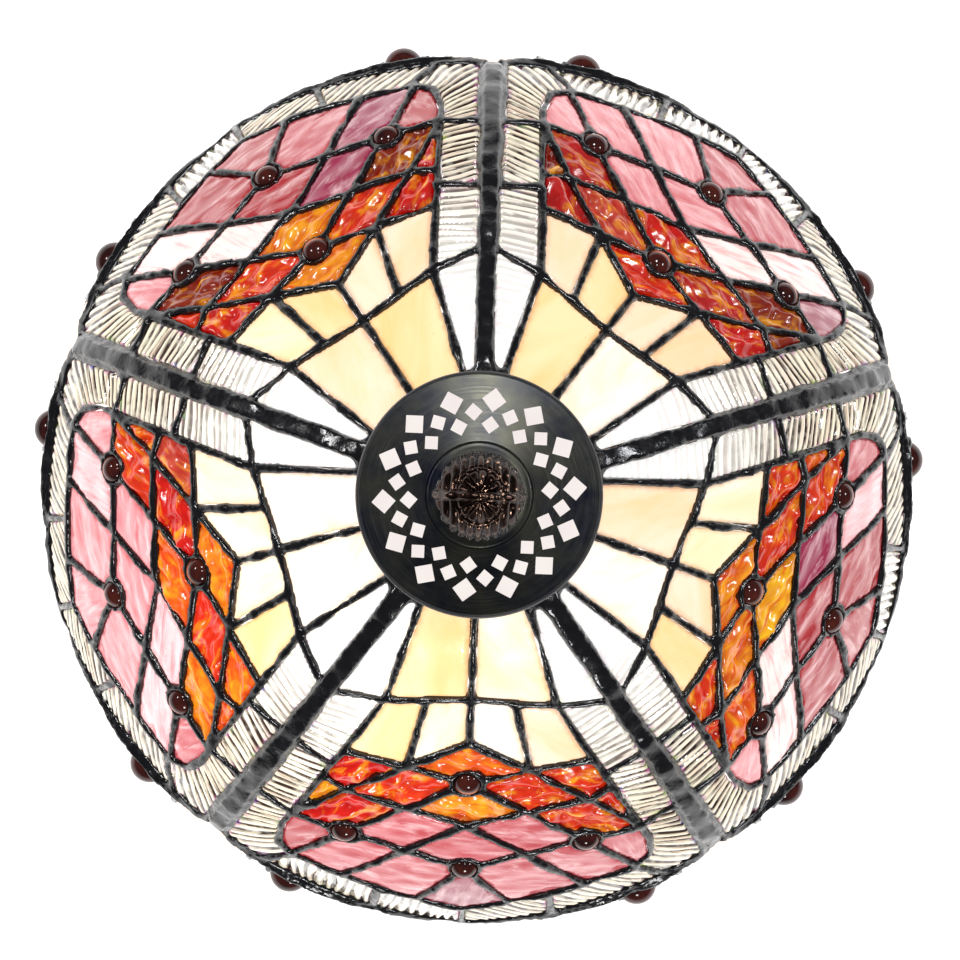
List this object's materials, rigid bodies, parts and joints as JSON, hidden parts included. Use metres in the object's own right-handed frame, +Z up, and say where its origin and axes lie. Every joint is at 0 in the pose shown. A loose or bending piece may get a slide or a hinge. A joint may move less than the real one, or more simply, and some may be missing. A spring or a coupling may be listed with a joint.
{
  "type": "stained glass table lamp",
  "caption": "Table lamp with a five-sided domed leaded-glass shade, vented cap, finial, pull-chain lampholder and cast bronze-finish base with cord and plug.",
  "frame": {"origin": "centre of the underside of the felt pad, which is the object's bottom centre", "axes": "+Z up along the lamp axis (longest extent); -Y towards the middle of one shade panel; the supply cord leaves the foot towards +Y"},
  "size_m": [0.307, 0.3027, 0.4866],
  "materials": {
    "bronze": "aged bronze patina",
    "steel": "plated",
    "iron": "plain",
    "brass": "satin",
    "felt": "felt",
    "solder": "black patina over solder",
    "heat_cap": "blue-black bronze, satin",
    "cream_glass": "opalescent",
    "fire_glass": "red and orange streaky, rippled",
    "pink_glass": "pink streaky opalescent",
    "ripple_glass": "clear, ripple textured, iridescent",
    "jewel": "dark amber, polished",
    "ceramic": "glazed",
    "bulb": "frosted, lit",
    "cord": "brown"
  },
  "bodies": {
    "base": {"felt_pad": "felt", "base_foot": "bronze", "base_plate": "steel", "base_ballast": "iron", "base_washer": "steel", "base_nut": "steel", "cord_bush": "cord", "stem_lower": "bronze", "stem_knop": "bronze", "stem_upper": "bronze", "stem_crown": "bronze", "threaded_pipe": "brass", "stem_nut": "steel", "bracket_spacer": "steel", "holder_shell": "brass", "holder_liner": "ceramic", "holder_screw_shell": "brass", "holder_contact": "brass", "holder_bracket": "steel", "bracket_nut": "steel", "chain_guide": "brass", "power_cord": "cord", "plug_body": "cord", "plug_blades": "brass", "spider_nut": "steel"},
    "shade": {"cream_inner": "cream_glass", "cream_outer": "cream_glass", "fire_glass": "fire_glass", "pink_glass": "pink_glass", "ripple_side": "ripple_glass", "ripple_corner": "ripple_glass", "ripple_bottom": "ripple_glass", "lead_lattice": "solder", "panel_jewels": "jewel", "ridge_cames": "solder", "top_ring": "brass", "skirt_peak": "cream_glass", "skirt_pink": "pink_glass", "skirt_rim_glass": "cream_glass", "skirt_leads": "solder", "skirt_jewels": "jewel", "rim_wire": "solder", "heat_cap": "heat_cap", "shade_spider": "brass"},
    "bulb": {"bulb_cap": "steel", "bulb_glass": "bulb", "bulb_stem": "bulb"},
    "finial_washer": {"finial_washer": "brass"},
    "finial": {"finial": "bronze", "finial_insert": "brass"},
    "chain_eye": {"chain_eye": "brass"},
    "chain": {"pull_chain": "brass", "chain_pull": "bronze"}
  },
  "joints": [
    {"name": "shade_turn", "type": "hinge", "parent": "base", "child": "shade", "pos_m": [0, 0, 0.445], "axis": [0, 0, 1], "continuous": true},
    {"name": "bulb_turn", "type": "hinge", "parent": "base", "child": "bulb", "pos_m": [-0.02334, -0.02334, 0.262], "axis": [-0.147, -0.147, 0.9781], "range_deg": [0, 360]},
    {"name": "finial_lift", "type": "slide", "parent": "base", "child": "finial_washer", "axis": [0, 0, 1], "range_m": [0, 0.008]},
    {"name": "finial_turn", "type": "hinge", "parent": "finial_washer", "child": "finial", "pos_m": [0, 0, 0.46], "axis": [0, 0, 1], "range_deg": [0, 2880]},
    {"name": "chain_swing", "type": "hinge", "parent": "base", "child": "chain_eye", "pos_m": [-0.04982, -0.04982, 0.28711], "axis": [0.7071, -0.7071, 0], "range_deg": [-10, 10]},
    {"name": "chain_slide", "type": "slide", "parent": "chain_eye", "child": "chain", "axis": [0, 0, -1], "range_m": [0, 0.008], "stiffness_N_per_m": 250}
  ],
  "couplings": [
    {"joint": "finial_turn", "follows": "finial_lift", "rad_per_m": 6283.2}
  ]
}
